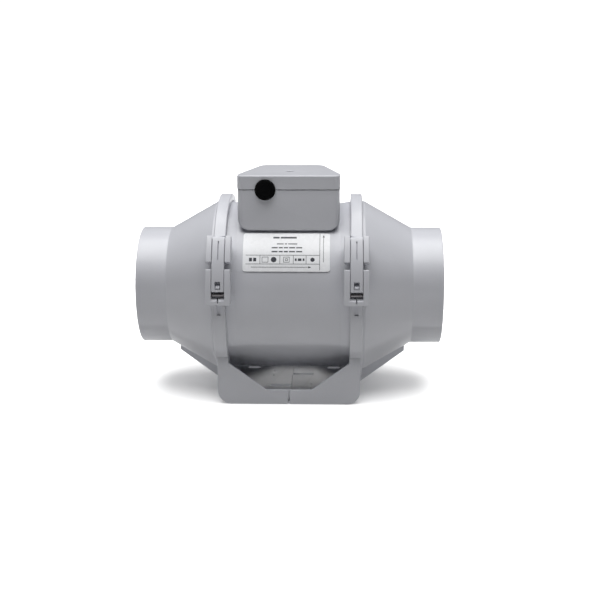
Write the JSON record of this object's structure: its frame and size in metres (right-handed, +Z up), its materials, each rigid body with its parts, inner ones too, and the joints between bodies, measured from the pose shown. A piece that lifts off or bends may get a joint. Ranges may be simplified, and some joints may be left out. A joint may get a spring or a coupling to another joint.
{
  "type": "inline duct extractor fan",
  "caption": "Inline mixed-flow bathroom extractor fan for round duct: cased motor block held by two latched hoops on a split bracket, with a terminal box on top.",
  "frame": {"origin": "centre of the bracket's underside, which is the centre of the bounding box's bottom face", "axes": "+Z up from the surface the bracket is screwed to, +X along the duct axis in the direction the air moves, -Y the side with the latches and the rating label"},
  "size_m": [0.247, 0.1632, 0.183],
  "materials": {
    "shell": "satin light grey ABS, fine moulded texture",
    "innerPlastic": "grey moulded plastic",
    "impellerPlastic": "grey glass-filled plastic",
    "blackRubber": "black rubber",
    "greySeal": "dark grey foam rubber",
    "steel": "zinc-plated steel",
    "darkSteel": "oiled steel",
    "lamination": "stacked electrical steel",
    "copper": null,
    "terminalPlastic": "off-white polyamide",
    "capacitorPlastic": "cream plastic case",
    "label": "printed polyester film"
  },
  "bodies": {
    "bracket_and_motor_block": {"bracket_half_outlet": "shell", "bracket_half_inlet": "shell", "duct_cone_outlet": "shell", "duct_cone_inlet": "shell", "centre_casing": "shell", "terminal_box": "shell", "flange_seal_outlet": "greySeal", "flange_seal_inlet": "greySeal", "cover_gasket": "greySeal", "rating_label": "label", "hinge_pin_outlet": "steel", "hinge_pin_inlet": "steel", "terminal_screw_1": "steel", "terminal_screw_2": "steel", "terminal_screw_3": "steel", "cord_clamp_screw_1": "steel", "cord_clamp_screw_2": "steel", "box_screw_1": "steel", "box_screw_2": "steel", "end_shield_front": "steel", "end_shield_rear": "steel", "motor_screw_1": "steel", "motor_screw_2": "steel", "motor_screw_3": "steel", "catch_pin_outlet": "darkSteel", "catch_pin_inlet": "darkSteel", "bearing_front": "darkSteel", "bearing_rear": "darkSteel", "cable_grommet": "blackRubber", "lead_sleeve": "blackRubber", "lead_bush": "blackRubber", "terminal_block": "terminalPlastic", "run_capacitor": "capacitorPlastic", "cord_clamp": "innerPlastic", "guide_vane_housing": "innerPlastic", "tail_fairing": "innerPlastic", "stator_core": "lamination", "stator_windings": "copper"},
    "rotor": {"rotor_core": "lamination", "motor_shaft": "steel", "impeller": "impellerPlastic", "impeller_nut": "impellerPlastic"},
    "hoop_inlet": {"clamp_hoop_inlet": "shell", "latch_pin_inlet": "steel"},
    "hoop_outlet": {"clamp_hoop_outlet": "shell", "latch_pin_outlet": "steel"},
    "lever_inlet": {"latch_lever_inlet": "shell"},
    "lever_outlet": {"latch_lever_outlet": "shell"},
    "cover": {"terminal_cover": "shell", "cover_screw": "steel"}
  },
  "joints": [
    {"name": "impeller_spin", "type": "hinge", "parent": "bracket_and_motor_block", "child": "rotor", "pos_m": [0, 0, 0.086], "axis": [1, 0, 0], "continuous": true},
    {"name": "hoop_inlet_open", "type": "hinge", "parent": "bracket_and_motor_block", "child": "hoop_inlet", "pos_m": [-0.0536, 0.077, 0.096], "axis": [-1, 0, 0], "range_deg": [0, 100]},
    {"name": "lever_inlet_lift", "type": "hinge", "parent": "hoop_inlet", "child": "lever_inlet", "pos_m": [-0.0536, -0.06232, 0.13504], "axis": [-1, 0, 0], "range_deg": [0, 70]},
    {"name": "hoop_outlet_open", "type": "hinge", "parent": "bracket_and_motor_block", "child": "hoop_outlet", "pos_m": [0.0536, 0.077, 0.096], "axis": [-1, 0, 0], "range_deg": [0, 100]},
    {"name": "lever_outlet_lift", "type": "hinge", "parent": "hoop_outlet", "child": "lever_outlet", "pos_m": [0.0536, -0.06232, 0.13504], "axis": [-1, 0, 0], "range_deg": [0, 70]},
    {"name": "cover_lift", "type": "slide", "parent": "bracket_and_motor_block", "child": "cover", "axis": [0, 0, 1], "range_m": [0, 0.06]}
  ]
}
